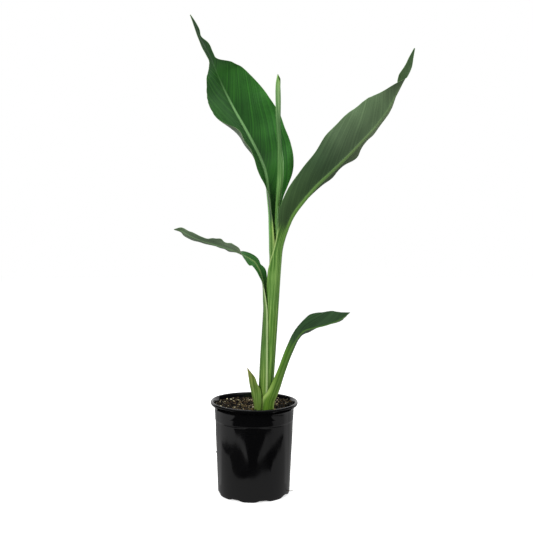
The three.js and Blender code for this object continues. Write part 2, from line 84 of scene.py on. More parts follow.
class Graph:
    """A node tree, with each kind of node that the materials use as one short call."""

    def __init__(self, tree):
        self.tree = tree
        tree.nodes.clear()

    def put(self, socket, value):
        """Links a socket, or sets it to a number or a colour."""
        value = linear(value)
        if isinstance(value, bpy.types.NodeSocket):
            self.tree.links.new(value, socket)
        elif isinstance(value, tuple) and len(value) == 3 and socket.type == "RGBA":
            socket.default_value = (*value, 1.0)
        else:
            socket.default_value = value

    def node(self, kind, *inputs, **settings):
        """A new node with its settings, and with its first inputs filled in order."""
        node = self.tree.nodes.new("ShaderNode" + kind)
        for key, value in settings.items():
            setattr(node, key, value)
        for socket, value in zip(node.inputs, inputs):
            self.put(socket, value)
        return node

    def fill(self, node, **sockets):
        """Fills a node's sockets by name, with _ for a space."""
        for name, value in sockets.items():
            self.put(node.inputs[name.replace("_", " ")], value)
        return node

    def attribute(self, name):
        return self.node("Attribute", attribute_name=name).outputs["Fac"]

    def math(self, operation, first, second):
        return self.node("Math", first, second, operation=operation).outputs[0]

    def times(self, first, second):
        return self.math("MULTIPLY", first, second)

    def weighed(self, *terms):
        """The sum of some values; terms are (value, weight)."""
        total, *others = [self.times(value, weight) for value, weight in terms]
        for other in others:
            total = self.math("ADD", total, other)
        return total

    def remap(self, value, low, high, to_low=0.0, to_high=1.0):
        """value from low..high to to_low..to_high, eased and clamped."""
        node = self.node("MapRange", value, low, high, to_low, to_high, interpolation_type="SMOOTHSTEP")
        return node.outputs["Result"]

    def mix(self, share, first, second, blend="MIX"):
        node = self.fill(self.node("Mix", data_type="RGBA", blend_type=blend), Factor=share)
        self.put(node.inputs[6], first)
        self.put(node.inputs[7], second)
        return node.outputs[2]

    def ramp(self, value, stops):
        """stops are (place, colour), in order."""
        node = self.node("ValToRGB", value)
        band = node.color_ramp.elements
        while len(band) < len(stops):
            band.new(0.5)
        for stop, (place, colour) in zip(band, stops):
            stop.position = place
            stop.color = (*linear(colour), 1.0)
        return node.outputs["Color"]

    def three_tones(self, value, colours):
        return self.ramp(value, list(zip((0.0, 0.5, 1.0), colours)))

    def vector(self, x, y, z):
        return self.node("CombineXYZ", x, y, z).outputs[0]

    def noise(self, place, scale, detail, roughness=0.5):
        node = self.node("TexNoise")
        self.fill(node, Vector=place, Scale=scale, Detail=detail, Roughness=roughness)
        return node.outputs["Fac"]

    def object_place(self):
        return self.node("TexCoord").outputs["Object"]

    def node_z(self):
        return self.node("SeparateXYZ", self.object_place()).outputs["Z"]

    def bump(self, height, distance, strength):
        node = self.node("Bump")
        return self.fill(node, Height=height, Distance=distance, Strength=strength).outputs[0]

    def surface(self, **sockets):
        """The Principled shader, with its sockets by name."""
        shader = self.fill(self.node("BsdfPrincipled"), **sockets)
        self.node("OutputMaterial", shader.outputs[0])


def new_material(name):
    material = bpy.data.materials.new(name)
    material.use_nodes = True
    return material, Graph(material.node_tree)


# ---------------- pieces
def make_piece(name, vertices, faces, material, smooth=True, attributes=None):
    """A mesh piece that rides on the plant's body. Vertices are in metres."""
    mesh = bpy.data.meshes.new(name)
    mesh.from_pydata(vertices, [], faces)
    for key, values in (attributes or {}).items():
        layer = mesh.attributes.new(key, "FLOAT", "POINT")
        layer.data.foreach_set("value", np.asarray(values, dtype=np.float32))
    mesh.polygons.foreach_set("use_smooth", [smooth] * len(mesh.polygons))
    mesh.materials.append(material)
    mesh.validate()
    mesh.update()
    piece = bpy.data.objects.new(name, mesh)
    bpy.context.collection.objects.link(piece)
    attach(piece, BODY)
    return piece


def tube_faces(rings, sides, start=0, inward=False):
    """Quads between rings of points that follow each other from the point `start`."""
    faces = []
    for i in range(rings - 1):
        for j in range(sides):
            a, b = start + i * sides + j, start + i * sides + (j + 1) % sides
            c, d = b + sides, a + sides
            faces.append((a, d, c, b) if inward else (a, b, c, d))
    return faces


def disc_face(start, sides, down=False):
    """One face over a whole ring of points."""
    corners = tuple(range(start, start + sides))
    return corners[::-1] if down else corners


def strand_faces(steps, sides):
    """A closed strand of some steps, from its foot to its tip."""
    ends = [disc_face(0, sides, down=True), disc_face(steps * sides, sides)]
    return tube_faces(steps + 1, sides) + ends


def turns(sides):
    """The angles of the points in a ring, in radians."""
    return [2 * math.pi * j / sides for j in range(sides)]


class Heap:
    """Many small loose bits, gathered into one mesh, each with a shade of its own."""

    def __init__(self):
        self.vertices, self.faces, self.shades = [], [], []

    def add(self, points, faces, shade):
        start = len(self.vertices)
        self.vertices += [tuple(p) for p in points]
        self.faces += [tuple(start + i for i in face) for face in faces]
        self.shades += [shade] * len(points)

    def make(self, name, material, smooth=False):
        make_piece(name, self.vertices, self.faces, material, smooth, {"shade": self.shades})


# ---------------- the stem that the sheaths wrap
STEM_FOOT_MM = (21.5, -35.0, 163.0)
STEM_LEAN_X = 0.0615
STEM_LEAN_Y = 0.018
SHEATH_FOOT_MM = 146.0
SPEAR_FOOT_MM = 426.2

# Middle radius and thickness of each sheath, in millimetres.
SHEATH_LEFT = (8.5, 1.5)
SHEATH_RIGHT = (10.8, 1.9)
SHEATH_LOWER = (13.4, 1.9)
SHEATH_SHOOT = (16.2, 2.2)
SHEATH_BRACT = (18.6, 1.8)


def beside_stem(z, radius, degrees):
    rise = z - STEM_FOOT_MM[2]
    x = radius * math.cos(math.radians(degrees))
    y = radius * math.sin(math.radians(degrees))
    return (
        STEM_FOOT_MM[0] + STEM_LEAN_X * rise + x,
        STEM_FOOT_MM[1] + STEM_LEAN_Y * rise + y,
        z - STEM_LEAN_X * x - STEM_LEAN_Y * y,
    )


def sheath_station(z, out, wrap_a, wrap_b, sheath, radius=None, rib=0.0):
    """A station of a sheath whose midrib faces `out`, degrees from +X towards the front."""
    radius = radius or sheath[0]
    arc_a = radius * math.radians(wrap_a)
    arc_b = radius * math.radians(wrap_b)
    place = beside_stem(z, radius, -out)
    return [*place, out + 90, wrap_a, arc_a, out - 90, wrap_b, arc_b, rib, sheath[1]]


# ---------------- the leaves' form
# Stations up the midrib: x, y, z; then for each half of the blade its direction off the
# midrib, its curl over its width, both in degrees, and its width; the rib; the thickness,
# where it isn't the blade's own.
LEAF_LEFT_STATIONS = [
    sheath_station(SHEATH_FOOT_MM, 180, 150, 150, SHEATH_LEFT),
    sheath_station(290, 180, 150, 150, SHEATH_LEFT),
    sheath_station(425, 180, 150, 140, SHEATH_LEFT, 8.6),
    [30.5, -29, 462, 272, 120, 19, 92, 100, 15, 1.5, 1.8],
    [31.2, -28, 497, 285, 95, 18, 97, 75, 12, 3, 1.4],
    [30.5, -24, 529, 310, 65, 20, 102, 50, 11, 3.5, 1.1],
    [27, -17, 565, 332, 45, 31, 108, 30, 16, 3.2, 0.9],
    [21, -5, 609, 348, 35, 57.5, 132, 18, 24, 2.8],
    [10, 8, 641, 352, 30, 65, 141, 70, 45, 2.4],
    [-4, 18, 670, 355, 26, 70.5, 148, 85, 58, 2.1],
    [-19, 26, 699, 357, 22, 72, 151, 70, 64, 1.8],
    [-37, 32, 731, 360, 18, 70, 150, 42, 69, 1.5],
    [-55, 36, 766, 360, 15, 62, 146, 20, 50.5, 1.2],
    [-69.5, 38, 797, 362, 12, 50, 134, 12, 38, 0.9],
    [-76, 37, 813, 370, 15, 37, 146, 12, 19, 0.8],
    [-82.5, 36, 829, 380, 20, 13, 152, 10, 7, 0.7],
    [-88, 35, 842, 385, 30, 11, 155, 10, 7, 0.5],
    [-96, 34, 857, 380, 20, 11, 158, 10, 7, 0.4],
    [-106, 33, 874, 372, 10, 4, 150, 0, 4, 0.4],
    [-111, 32, 888, 370, 0, 5, 150, 0, 4, 0.4],
    [-117, 31, 903, 370, 0, 3, 150, 0, 3, 0.3],
    [-124, 30, 917, 400, 0, 1, 150, 0, 1, 0.1],
]
LEAF_RIGHT_STATIONS = [
    sheath_station(SHEATH_FOOT_MM, 40, 140, 150, SHEATH_RIGHT),
    sheath_station(280, 40, 140, 150, SHEATH_RIGHT, 11.7),
    sheath_station(400, 40, 135, 150, SHEATH_RIGHT, 11.9),
    sheath_station(436, 38, 100, 120, SHEATH_RIGHT, 12.2, 1),
    [50, -37, 466, 128, 60, 14, -45, 60, 14, 2.5, 1.8],
    [58.5, -41, 495, 134, 50, 17, -48, 55, 14, 3.5, 1.4],
    [72, -47, 525, 155, 30, 28.3, -62, 45, 18, 3.6, 1.1],
    [92, -53, 552, 165, 20, 37, -72, 35, 31, 3.4, 0.9],
    [116, -60, 579, 170, 15, 41, -69, 25, 41, 3],
    [143, -67, 604, 174, 10, 47, -74, 20, 49, 2.6],
    [170, -73, 630, 176, 10, 55, -71, 15, 53, 2.3],
    [195, -77, 656, 178, 10, 55, -72, 20, 55, 2],
    [219, -80, 682, 178, 12, 51, -78, 15, 51, 1.6],
    [240, -82, 711, 176, 14, 41, -70, 20, 40, 1.2],
    [257, -82, 742, 170, 14, 18.5, -80, 20, 9, 0.9],
    [267, -81, 761, 120, 10, 7, -140, 10, 12, 0.7],
    [272.5, -81, 771, 50, 10, 4, -172, 10, 13, 0.6],
    [279, -80, 788, 20, 10, 4, -180, 10, 9, 0.5],
    [283, -80, 803, 10, 0, 2.5, -180, 0, 6, 0.4],
    [288, -78, 822, 10, 0, 1, -180, 0, 1, 0.1],
]
LEAF_SPEAR_STATIONS = [
    [34.9, -29, SPEAR_FOOT_MM, -60, 250, 12, 120, 240, 8, 0],
    [37.2, -29.6, 452, -60, 250, 12, 120, 240, 8, 0],
    [39.5, -30, 480, -60, 250, 14, 120, 240, 9, 0],
    [40, -30, 525, -60, 240, 15, 120, 220, 11, 0],
    [42.8, -30, 572, -60, 230, 17, 120, 170, 17, 0],
    [45.4, -30, 612, -60, 230, 18, 120, 135, 21, 0],
    [44, -30, 652, -60, 240, 16, 120, 180, 14, 0],
    [42.2, -29, 700, -60, 240, 16, 120, 190, 14, 0],
    [41.2, -28, 740, -60, 240, 19, 120, 190, 16.2, 0],
    [41.4, -28, 768, -60, 235, 17, 120, 190, 14.2, 0],
    [44.5, -28, 788, -60, 60, 1, 120, 60, 1, 0],
]
LEAF_LOWER_STATIONS = [
    sheath_station(SHEATH_FOOT_MM, 180, 120, 109, SHEATH_LOWER),
    sheath_station(250, 180, 120, 86, SHEATH_LOWER, 15.1),
    sheath_station(340, 180, 95, 64, SHEATH_LOWER, 14.8),
    [19, -33, 368, 273, 52, 13, 92, 45, 12, 1.6, 1.4],
    [17.8, -31, 397, 300, 35, 10, 112, 35, 10, 1.8, 1.1],
    [12, -28, 420, 325, 30, 12, 132, 25, 11.5, 1.8, 0.9],
    [6, -26.5, 432, 323, 22, 8.5, 132, 16, 14, 1.8, 0.85],
    [-1, -25, 441, 322, 15, 11.5, 132, 10, 16.5, 1.7],
    [-22, -24, 453.5, 290, 10, 14, 94, 10, 18, 1.6],
    [-33, -24, 458.5, 264, 10, 15, 68, 10, 19, 1.5],
    [-45, -24, 463, 246, 10, 15, 58, 10, 21.5, 1.4],
    [-56, -24.5, 466.5, 252, 12, 13, 60, 10, 14.5, 1.3],
    [-68, -25, 470, 250, 15, 13, 48, 10, 20.5, 1.2],
    [-96, -26, 479, 244, 15, 14, 64, 10, 12, 1],
    [-121, -28, 489, 236, 10, 13.5, 48, 10, 10.5, 0.7],
    [-136, -29, 498, 236, 10, 7, 48, 10, 8, 0.5],
    [-149, -30, 500, 240, 0, 1, 60, 0, 1, 0.1],
]
LEAF_SHOOT_STATIONS = [
    sheath_station(SHEATH_FOOT_MM, 62, 70, 46, SHEATH_SHOOT),
    sheath_station(178, 62, 64, 40, SHEATH_SHOOT, 16.4, 0.5),
    [35, -51, 193, 151, 65, 13.5, -24, 48, 12.5, 0.6, 2.1],
    [40.3, -52, 208, 150, 60, 10.5, -20, 50, 12.5, 0.6, 2],
    [51.8, -55, 240, 145, 60, 8.5, -20, 55, 10.5, 0.8, 1.8],
    [65, -57, 273, 142, 60, 9.5, -20, 60, 9.5, 0.9, 1.6],
    [78.5, -58, 299, 140, 50, 12, -30, 50, 9.5, 1.1, 1.3],
    [92, -60, 314, 138, 40, 17, -50, 30, 16, 1.5, 1],
    [110, -62, 320, 138, 22, 31, -68, 20, 28, 1.6],
    [134, -64, 326, 138, 15, 32, -76, 15, 30, 1.2],
    [157, -66, 335, 142, 10, 23, -72, 10, 27, 0.9],
    [175, -68, 348, 144, 0, 1, -80, 0, 1, 0.1],
]
BRACT_STATIONS = [
    sheath_station(SHEATH_FOOT_MM + 0.8, 170, 48, 44, SHEATH_BRACT),
    sheath_station(172, 165, 46, 52, SHEATH_BRACT, 21.5),
    [-3.4, -40, 197, 262, 46, 12, 52, 50, 20, 0.6, 1.6],
    [-7, -41, 213, 262, 40, 10, 46, 35, 16, 0.5, 1.3],
    [-9, -41, 226, 262, 30, 6, 42, 25, 12.5, 0.4, 1.1],
    [-12, -42, 243, 262, 0, 1, 40, 0, 1, 0],
]

DIR_A, CURL_A, WIDTH_A, DIR_B, CURL_B, WIDTH_B, RIB, THICK = range(3, 11)
MIN_WIDTH_MM = 0.9
MARGIN_LINE_MM = 1.2  # the pale line along a margin
BLADE_THINNING = 0.55  # the real blade is this share of its solid's thickness
THIN_FROM_MM = 1.2  # only where the solid is no thicker than this
MARGIN_THINNING = 0.6  # share of its thickness that a leaf loses towards its margin
THINNEST_MM = 0.3
COLUMNS = 30  # on each half of a blade
STEP_MM = 2.2  # from one cross-section to the next
SWELL_PITCH_MM = 13.0  # from one swell between side veins to the next
SWELL_FULL_MM = 25.0  # a half this wide has its swells and crinkles at their full height
CRINKLE_ACROSS_MM = 5.1  # the crinkles' sizes over the side veins and up the leaf
CRINKLE_ALONG_MM = 17.0
BLADE_MM = 0.8  # the thickness of a solid's blade
GROOVE = 0.35  # depth of the channel over the midrib, as a share of the rib


def spline(stations, places):
    """Uniform Catmull-Rom spline through every value of the stations."""
    full = [row if len(row) > THICK else [*row, BLADE_MM] for row in stations]
    table = np.array(full, dtype=float)
    last = len(table) - 1
    k = np.minimum(places.astype(int), last - 1)
    t = (places - k)[:, None]
    before, start = table[np.maximum(k - 1, 0)], table[k]
    end, after = table[k + 1], table[np.minimum(k + 2, last)]
    slope_start, slope_end = (end - before) / 2, (after - start) / 2
    return (
        start * (2 * t**3 - 3 * t**2 + 1)
        + slope_start * (t**3 - 2 * t**2 + t)
        + end * (3 * t**2 - 2 * t**3)
        + slope_end * (t**3 - t**2)
    )


def even_places(stations):
    """Places along the stations, about STEP_MM apart on the midrib, and the lengths there."""
    places = np.linspace(0, len(stations) - 1, 4000)
    line = spline(stations, places)[:, :3]
    run = np.concatenate([[0], np.cumsum(np.linalg.norm(np.diff(line, axis=0), axis=1))])
    lengths = np.linspace(0, run[-1], int(run[-1] / STEP_MM) + 1)
    return np.interp(lengths, run, places), lengths


def unit(vectors):
    return vectors / np.linalg.norm(vectors, axis=-1, keepdims=True)


def cross_frames(stations, places):
    """The directions to the right and to the front, square to the midrib, at each place."""
    last = len(stations) - 1
    step = 0.02
    above = spline(stations, np.minimum(places + step, last))[:, :3]
    below = spline(stations, np.maximum(places - step, 0))[:, :3]
    along = unit(above - below)
    front = np.array([0.0, -1.0, 0.0]) - along * (along @ np.array([0.0, -1.0, 0.0]))[:, None]
    front = unit(front)
    return np.cross(along, front), front


def column_shares(width):
    """Shares of a half's width for its columns, closer at the midrib and at the margin."""
    steps = np.linspace(0, 1, COLUMNS - 1) ** 1.3
    line = np.minimum(MARGIN_LINE_MM / width, 0.3)[:, None]
    inner = steps[None, :] * (1 - line)
    return np.concatenate([inner, 1 - line / 2, np.ones_like(line)], axis=1)


def half_blade(rows, right, front, side):
    """Points, upper normals, shares and widths of one half, from the midrib outwards."""
    direction = np.radians(rows[:, DIR_A if side > 0 else DIR_B])[:, None]
    curl = side * np.radians(rows[:, CURL_A if side > 0 else CURL_B])[:, None]
    width = np.maximum(rows[:, WIDTH_A if side > 0 else WIDTH_B], MIN_WIDTH_MM)
    share = column_shares(width)
    turned = curl * share
    chord = width[:, None] * share * np.sinc(turned / 2 / math.pi)
    heading = direction + turned / 2
    facing = direction + turned + side * math.pi / 2

    def spread(length, angle):
        across = (length * np.cos(angle))[..., None] * right[:, None, :]
        return across + (length * np.sin(angle))[..., None] * front[:, None, :]

    points = rows[:, None, :3] + spread(chord, heading)
    return points, spread(np.ones_like(facing), facing), share, width


def ruffled(height, waves, first, last, calm_from=99.0):
    """The margin's waves: height in mm, number of waves, and their stretch. Past the place
    `calm_from` half A's sink to a fifth."""

    def offset(places, share, side):
        t = np.clip((places - first) / (last - first), 0, 1)[:, None]
        swell = np.sin(math.pi * t)
        if side > 0:
            swell = swell * np.clip(calm_from + 1 - places, 0.2, 1)[:, None]
        return height * swell * np.sin(2 * math.pi * waves * t + side) * share**2

    return offset


VEIN_SLANT = 1.5  # how far a side vein climbs for each millimetre off the midrib
VEIN_SWEEP = 0.02  # and how much steeper it gets on its way to the margin


def vein_place(length, distance):
    """Which side vein a point lies on: where on the midrib, in mm, that vein starts."""
    return length - VEIN_SLANT * distance - VEIN_SWEEP * distance**2


def grid_faces(rows, columns, start=0, flip=False):
    """Triangles of a sheet; both sheets of a slab have the same diagonals, so never cross."""
    faces = []
    for i in range(rows - 1):
        for j in range(columns - 1):
            a = start + i * columns + j
            b, c, d = a + 1, a + columns + 1, a + columns
            for corners in ((a, b, c), (a, c, d)):
                faces.append(corners[::-1] if flip else corners)
    return faces


def slab_faces(rows, columns):
    """Faces of a closed slab: a lower sheet of points, then an upper one."""
    upper = rows * columns
    faces = grid_faces(rows, columns) + grid_faces(rows, columns, upper, flip=True)
    last = columns - 1
    for i in range(rows - 1):
        a, b = i * columns, (i + 1) * columns
        faces.append((a, b, upper + b, upper + a))
        faces.append((a + last, upper + a + last, upper + b + last, b + last))
    end = (rows - 1) * columns
    for j in range(last):
        faces.append((j, upper + j, upper + j + 1, j + 1))
        faces.append((end + j, end + j + 1, upper + end + j + 1, upper + end + j))
    return faces


def hill(distance, width):
    return np.exp(-((distance / width) ** 2))


def make_leaf(name, stations, material, ruffle=None, quilt=0.25, blade_from=99.0, frill=0.5, seed=0):
    """A leaf as one closed piece. `quilt` is the height of the swells between side veins,
    `frill` that of the crinkles in the margin, and the sheath turns into the blade over one
    station from the place `blade_from`."""
    places, lengths = even_places(stations)
    rows = spline(stations, places)
    up_leaf = lengths[:, None]
    rib, thick = rows[:, RIB][:, None], rows[:, THICK][:, None]
    blade = np.clip(places - blade_from, 0, 1)[:, None]
    blade = blade * blade * (3 - 2 * blade)
    thick = np.where(thick > THIN_FROM_MM, thick, thick * (1 - (1 - BLADE_THINNING) * blade))
    right, front = cross_frames(stations, places)
    halves = [half_blade(rows, right, front, side) for side in (1, -1)]
    middle = unit(halves[0][1][:, 0] + halves[1][1][:, 0])
    sections = []
    for side, (points, normals, share, width) in zip((1, -1), halves):
        normals[:, 0] = middle
        distance = share * width[:, None]
        vein = vein_place(up_leaf, distance)
        full = blade * np.minimum(width / SWELL_FULL_MM, 1)[:, None]
        swell = np.sin(2 * math.pi * vein / SWELL_PITCH_MM + seed)
        height = quilt * full * share * (1.2 - share) * swell
        if ruffle:
            height = height + ruffle(places, share, side)
        crinkle = np.sin(vein / CRINKLE_ACROSS_MM + 3 * side + seed)
        crinkle = crinkle * np.sin(up_leaf / CRINKLE_ALONG_MM + seed)
        height = height + frill * full * share**3 * crinkle
        points = points + height[..., None] * normals
        half = np.maximum(thick * (1 - MARGIN_THINNING * share**4), THINNEST_MM) / 2
        bulge = rib * hill(distance, 1.2 + 0.62 * rib)
        dip = GROOVE * rib * blade * hill(distance, 0.8 + 0.3 * rib)
        sections.append(
            {
                "lower": points - (half + bulge)[..., None] * normals,
                "upper": points + (half - dip)[..., None] * normals,
                "vein": vein,
                "off_midrib": distance,
                "off_margin": (1 - share) * width[:, None],
                "rib": hill(distance, 1.0 + 0.75 * rib) * np.minimum(rib / 0.5, 1),
                "up_leaf": np.broadcast_to(up_leaf, share.shape),
                "blade": np.broadcast_to(blade, share.shape),
                "half": np.full(share.shape, side),
            }
        )
    whole = {
        key: np.concatenate([sections[0][key][:, :0:-1], sections[1][key]], axis=1)
        for key in sections[0]
    }
    sheets = [whole.pop(key).reshape(-1, 3) for key in ("lower", "upper")]
    count, columns = whole["vein"].shape
    attributes = {key: np.tile(values.reshape(-1), 2) for key, values in whole.items()}
    attributes["upper"] = np.repeat([0.0, 1.0], count * columns)
    vertices = (np.concatenate(sheets) * MM).tolist()
    faces = slab_faces(count, columns)
    piece = make_piece(name, vertices, faces, material, attributes=attributes)
    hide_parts(name)


# ---------------- leaf materials
FINE_VEIN_MM = 1.1  # half the way from one fine side vein to the next
MAIN_VEIN_MM = 4.2
UP_LEAF_MM = (0.0, 900.0)  # the reach of the tints up a leaf
OFF_MIDRIB_MM = (-80.0, 80.0)  # and across it
PAST_THE_TIP_MM = (2000, 2100)
NO_TINT = ((-60, 1), (60, 1))


def tinted(graph, colour, value, stops, low, high):
    """colour times a tint that changes with value; stops are (value, tint), 1 for no change."""
    share = graph.math("DIVIDE", graph.math("SUBTRACT", value, low), high - low)
    ramp = []
    for place, tint in stops:
        tint = tint if isinstance(tint, tuple) else (tint, tint, tint)
        ramp.append(((place - low) / (high - low), tuple(c / 2 for c in tint)))
    halved = graph.mix(1.0, colour, graph.ramp(share, ramp), "MULTIPLY")
    return graph.mix(1.0, halved, (2.0, 2.0, 2.0), "MULTIPLY")


def leaf_material(
    name, *, upper, lower, sheath, rib, margin, bands, hem_reach, hem=None, across=NO_TINT,
    sheath_across=NO_TINT, rib_edges=(0.3, 0.8), rib_fade=PAST_THE_TIP_MM,
    margin_fade=PAST_THE_TIP_MM, vein_share=0.1, along=0.0, roughness=0.42, gloss=0.3, dull_b=0.0,
):
    """`upper`, `lower` and `sheath` each give a dark, a middle and a light colour. `bands` tint
    the leaf by the length up its midrib; `across` and `sheath_across` tint blade and sheath by
    the distance off it, half B's being negative. `hem` is the sheath's margin colour and
    `hem_reach` its width. The midrib's colour ends in `rib_fade`, the margin's in `margin_fade`.
    `along` is how far the streaks keep to the midrib's direction, and `dull_b` how much rougher
    and smoother half B is. All lengths are in mm."""
    material, graph = new_material(name)
    keys = ("vein", "off_midrib", "up_leaf", "half", "blade")
    vein, off_midrib, up_leaf, half, blade = [graph.attribute(key) for key in keys]

    # Streaks that follow the side veins, and broad cloudy changes.
    streak_place = graph.vector(graph.times(vein, 0.16), graph.times(off_midrib, 0.012), half)
    streaks = graph.noise(streak_place, 1.0, 4.0, 0.6)
    clouds = graph.noise(graph.object_place(), 14.0, 2.0)
    thread_place = graph.vector(graph.times(off_midrib, 0.5), graph.times(up_leaf, 0.008), half)
    threads = graph.noise(thread_place, 1.0, 4.0, 0.6)
    grain = graph.weighed((streaks, 1 - along), (threads, along))
    tone = graph.remap(graph.weighed((grain, 0.65), (clouds, 0.35)), 0.31, 0.69)

    # Side veins: fine parallel lines, with a stronger one every few.
    fine_line = graph.remap(graph.math("PINGPONG", vein, FINE_VEIN_MM), 0.0, 0.6, 1.0, 0.0)
    wavering = graph.math("ADD", vein, graph.times(streaks, 2.0))
    main_line = graph.remap(graph.math("PINGPONG", wavering, MAIN_VEIN_MM), 0.0, 0.55, 1.0, 0.0)
    lines = graph.weighed((fine_line, 0.25), (main_line, 0.5))

    sides = [graph.three_tones(tone, colours) for colours in (lower, upper)]
    colour = graph.mix(graph.attribute("upper"), *sides)
    signed = graph.times(off_midrib, half)
    colour = tinted(graph, colour, signed, across, *OFF_MIDRIB_MM)
    colour = graph.mix(graph.times(lines, vein_share), colour, rib)

    # The sheath's long parallel striations run up the leaf.
    sheath_tone = graph.remap(graph.weighed((threads, 0.8), (clouds, 0.2)), 0.38, 0.62)
    sheath_colour = graph.three_tones(sheath_tone, sheath)
    sheath_colour = tinted(graph, sheath_colour, signed, sheath_across, *OFF_MIDRIB_MM)
    colour = graph.mix(blade, sheath_colour, colour)

    # The midrib, the bands and the thin line along the margin.
    rib_share = graph.remap(graph.attribute("rib"), *rib_edges)
    rib_share = graph.times(rib_share, graph.remap(up_leaf, *rib_fade, 0.92, 0.12))
    colour = tinted(graph, graph.mix(rib_share, colour, rib), up_leaf, bands, *UP_LEAF_MM)
    reach = graph.math("ADD", graph.times(graph.math("SUBTRACT", 1.0, blade), hem_reach), 0.45)
    off_line = graph.math("DIVIDE", graph.attribute("off_margin"), reach)
    line_share = graph.remap(off_line, 0.5, 1.5, 1.0, 0.0)
    line_share = graph.times(line_share, graph.remap(up_leaf, *margin_fade, 0.8, 0.0))
    colour = graph.mix(line_share, colour, graph.mix(blade, hem or margin, margin))

    pores = graph.noise(graph.object_place(), 900.0, 2.0)
    height = graph.weighed((lines, -4 * vein_share), (pores, 0.06), (threads, 0.8))
    shine = graph.remap(tone, 0.0, 1.0, roughness + 0.06, roughness - 0.05)
    if dull_b:
        shine = graph.math("ADD", shine, graph.remap(signed, -3.0, -0.5, dull_b, 0.0))
        height = graph.times(height, graph.remap(signed, -3.0, -0.5, 0.1, 1.0))
    graph.surface(
        Base_Color=colour,
        Roughness=shine,
        Specular_IOR_Level=gloss,
        Normal=graph.bump(height, 0.00025, 0.7),
    )
    return material


STEM_TONES = ("3F6A26", "5C873A", "84A95A")
LEFT_LEAF = leaf_material(
    "leaf_rich_green",
    upper=("1C471A", "285C21", "357327"),
    lower=("3A5A34", "486840", "5C7C50"),
    sheath=STEM_TONES,
    rib="82B272",
    margin="8FB072",
    bands=(
        (0, 1), (335, (1, 0.97, 1.02)), (352, (0.85, 1, 0.8)), (400, (0.95, 1.03, 0.85)),
        (440, (1, 1.1, 0.9)), (480, 1.12), (620, 1.05), (690, 0.95), (715, (1.2, 0.75, 1.6)),
        (755, (1.4, 0.68, 1.9)), (815, (1, 0.6, 1.3)),
    ),
    # Half B's bluish grey is the leaf's own colour; on half A the tint is painted light, darker by the
    # midrib and lighter towards the margin.
    across=((-60, (1.8, 1.18, 2)), (-15, (1.5, 1.08, 1.8)), (0, 0.85), (18, 0.9), (45, 1.06), (70, 1.22)),
    rib_edges=(0.12, 0.6),
    rib_fade=(600, 690),
    hem="A6C46C",
    hem_reach=2.6,
    vein_share=0.05,
)
RIGHT_LEAF = leaf_material(
    "leaf_grey_green",
    upper=("355330", "3B5C35", "43683B"),
    lower=("3D5736", "45603D", "4F6C45"),
    sheath=STEM_TONES,
    rib="6B9348",
    margin="7DA866",
    # Up the sheath, to 225 mm, the bands warm it and lighten it as painted light; from 490 mm up they
    # paint a broad sheen over the middle of the blade, with painted shade below it and towards the tip.
    bands=(
        (0, (1.35, 1.3, 1)), (90, (1.2, 1.25, 1)), (165, (1.4, 1.32, 1.2)), (225, (1, 1.03, 1)),
        (320, (0.95, 1.0, 0.88)), (345, (0.92, 0.98, 0.78)), (420, (0.87, 0.93, 0.79)),
        (490, (0.86, 0.88, 0.92)), (550, (1.35, 1.15, 1.4)), (592, (2, 1.65, 2)),
        (645, (2, 1.67, 1.98)), (680, (1.43, 1.14, 1.4)), (735, (1.13, 0.92, 1.17)),
        (770, (0.85, 0.78, 0.85)),
    ),
    # On half A these tints are painted light: painted shade near the midrib and a painted sheen towards
    # the margin.
    across=(
        (-60, (1, 0.95, 0.85)), (-5, (1, 0.95, 0.85)), (-1, 0.95), (4, 0.76), (14, 0.72),
        (24, 0.86), (34, 0.98), (44, 1.12), (60, 1.18),
    ),
    sheath_across=((-9, 0.8), (-4, 1), (0, 1.02), (10, 1.06), (20, 1), (30, 0.95)),
    rib_edges=(0.2, 0.7),
    rib_fade=(430, 640),
    hem="AFCB7C",
    hem_reach=1.6,
    vein_share=0.012,
    roughness=0.36,
    gloss=0.4,
    dull_b=0.5,
)
LOWER_LEAF = leaf_material(
    "leaf_lower_green",
    upper=("1E4A20", "2C6630", "438045"),
    lower=("4A6248", "607658", "7A9070"),
    sheath=STEM_TONES,
    rib="7BA06C",
    margin="8FAF7C",
    bands=(
        (0, (1.5, 1.25, 0.95)), (60, (1.25, 1.08, 0.9)), (130, (0.9, 0.92, 0.92)),
        (170, (0.76, 0.79, 0.8)), (230, 1), (275, (0.95, 0.9, 0.66)), (315, (1.0, 0.98, 0.68)),
        (345, 1.1), (375, 1), (440, 1), (475, (0.8, 0.95, 0.6)),
    ),
    sheath_across=((-30, 1), (-14, 0.95), (-5, 0.8), (0, 0.75), (12, 0.7)),
    hem="B9CF92",
    hem_reach=2.6,
    vein_share=0.04,
    along=0.8,
)
SHOOT_LEAF = leaf_material(
    "leaf_shoot_green",
    upper=("385A34", "476F41", "58834F"),
    lower=("2E4C2C", "395B36", "486C43"),
    sheath=("416D23", "4F7E29", "649136"),
    rib="5F8C3A",
    margin="8FB068",
    bands=((0, (1.22, 1.08, 0.8)), (30, (1.22, 1.05, 0.9)), (90, (1.12, 0.98, 1)), (160, 0.95), (220, 1)),
    # These tints are painted light: the sheath darker down its right side, half B, and lighter down its
    # left.
    sheath_across=((-14, (0.45, 0.6, 0.5)), (-7, (0.75, 0.85, 0.75)), (-1, 1), (6, 1.05), (13, 1.1)),
    hem="A8C66A",
    hem_reach=5.0,
    margin_fade=(40, 90),
    vein_share=0.04,
)
SPEAR_TONES = ("406C33", "558246", "6C9856")
